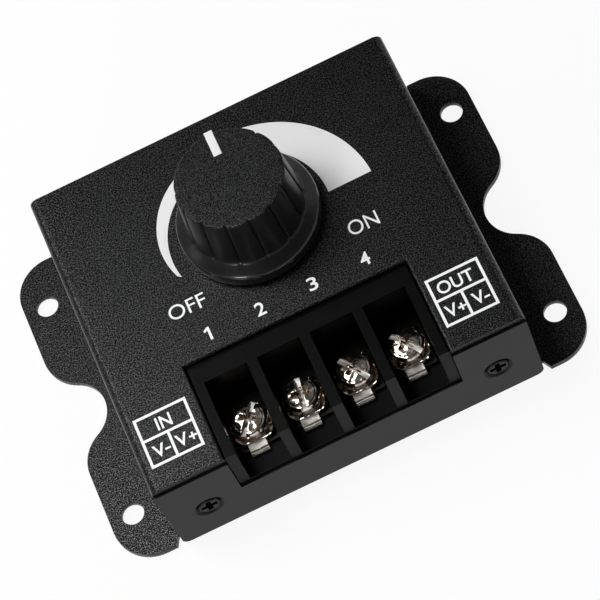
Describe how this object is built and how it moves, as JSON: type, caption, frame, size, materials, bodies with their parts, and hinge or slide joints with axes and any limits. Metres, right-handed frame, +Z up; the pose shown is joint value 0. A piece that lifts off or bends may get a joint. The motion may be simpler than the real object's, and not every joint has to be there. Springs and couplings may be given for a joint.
{
  "type": "led strip dimmer",
  "caption": "Rotary dimmer for LED strip in a folded black metal case with mounting ears, a fluted skirted knob and a recessed row of screw terminals.",
  "frame": {"origin": "middle of the footprint, on the mounting plane under the ears and the tray", "axes": "+X to the output side, along the longest side; +Y from the terminals to the knob; +Z up out of the cover, along the knob's axis"},
  "size_m": [0.0868, 0.0618, 0.036],
  "materials": {
    "case_coat": "fine-grain black powder coat",
    "panel_coat": "satin black coat",
    "black_steel": "black plated",
    "block_plastic": "moulded satin black",
    "nickel": "bright nickel plate",
    "board_laminate": "green solder mask",
    "zinc_steel": "zinc plated",
    "insulating_film": "translucent film",
    "track_laminate": "brown laminate",
    "wiper_plastic": "natural plastic",
    "tinned_copper": "tinned",
    "knob_plastic": "moulded black with a textured top",
    "pointer_white": "white inlay",
    "epoxy": "black moulding compound",
    "spreader_aluminium": "mill finish",
    "capacitor_sleeve": "shrink sleeve",
    "film_case": "dipped epoxy",
    "resistor_ceramic": "ceramic with black glaze"
  },
  "bodies": {
    "case": {"base_tray": "panel_coat", "board_screws": "zinc_steel", "board_standoffs": "zinc_steel", "capacitor_leads": "tinned_copper", "chip_leads": "tinned_copper", "chip_resistors": "resistor_ceramic", "circuit_board": "board_laminate", "cover_shell": "case_coat", "driver_chip": "epoxy", "film_capacitor": "film_case", "film_capacitor_leads": "tinned_copper", "filter_capacitors": "capacitor_sleeve", "front_case_screws": "black_steel", "heat_spreader": "spreader_aluminium", "insulating_sheet": "insulating_film", "pot_front_plate": "zinc_steel", "pot_housing": "zinc_steel", "pot_lugs": "tinned_copper", "pot_nut": "nickel", "pot_track": "track_laminate", "pot_washer": "zinc_steel", "rear_case_screws": "black_steel", "regulator_leads": "tinned_copper", "terminal_block": "block_plastic", "terminal_contacts": "nickel", "transistor_bodies": "epoxy", "transistor_leads": "tinned_copper", "transistor_nuts": "zinc_steel", "transistor_screws": "zinc_steel", "transistor_tabs": "tinned_copper", "voltage_regulator": "epoxy"},
    "knob_assembly": {"knob": "knob_plastic", "knob_pointer": "pointer_white", "pot_shaft": "zinc_steel", "pot_wiper": "wiper_plastic"},
    "clamp_1": {"clamp_washer_1": "nickel"},
    "screw_1": {"terminal_screw_1": "nickel"},
    "clamp_2": {"clamp_washer_2": "nickel"},
    "screw_2": {"terminal_screw_2": "nickel"},
    "clamp_3": {"clamp_washer_3": "nickel"},
    "screw_3": {"terminal_screw_3": "nickel"},
    "clamp_4": {"clamp_washer_4": "nickel"},
    "screw_4": {"terminal_screw_4": "nickel"}
  },
  "joints": [
    {"name": "knob_turn", "type": "hinge", "parent": "case", "child": "knob_assembly", "pos_m": [0, 0.0077, 0.0207], "axis": [0, 0, 1], "range_deg": [-140, 140]},
    {"name": "clamp_1_lift", "type": "slide", "parent": "case", "child": "clamp_1", "axis": [0, 0, 1], "range_m": [0, 0.0024]},
    {"name": "terminal_screw_1_turn", "type": "hinge", "parent": "clamp_1", "child": "screw_1", "pos_m": [-0.01425, -0.0222, 0.0124], "axis": [0, 0, 1], "range_deg": [0, 1440]},
    {"name": "clamp_2_lift", "type": "slide", "parent": "case", "child": "clamp_2", "axis": [0, 0, 1], "range_m": [0, 0.0024]},
    {"name": "terminal_screw_2_turn", "type": "hinge", "parent": "clamp_2", "child": "screw_2", "pos_m": [-0.00475, -0.0222, 0.0124], "axis": [0, 0, 1], "range_deg": [0, 1440]},
    {"name": "clamp_3_lift", "type": "slide", "parent": "case", "child": "clamp_3", "axis": [0, 0, 1], "range_m": [0, 0.0024]},
    {"name": "terminal_screw_3_turn", "type": "hinge", "parent": "clamp_3", "child": "screw_3", "pos_m": [0.00475, -0.0222, 0.0124], "axis": [0, 0, 1], "range_deg": [0, 1440]},
    {"name": "clamp_4_lift", "type": "slide", "parent": "case", "child": "clamp_4", "axis": [0, 0, 1], "range_m": [0, 0.0024]},
    {"name": "terminal_screw_4_turn", "type": "hinge", "parent": "clamp_4", "child": "screw_4", "pos_m": [0.01425, -0.0222, 0.0124], "axis": [0, 0, 1], "range_deg": [0, 1440]}
  ],
  "couplings": [
    {"joint": "terminal_screw_1_turn", "follows": "clamp_1_lift", "rad_per_m": 10472},
    {"joint": "terminal_screw_2_turn", "follows": "clamp_2_lift", "rad_per_m": 10472},
    {"joint": "terminal_screw_3_turn", "follows": "clamp_3_lift", "rad_per_m": 10472},
    {"joint": "terminal_screw_4_turn", "follows": "clamp_4_lift", "rad_per_m": 10472}
  ]
}
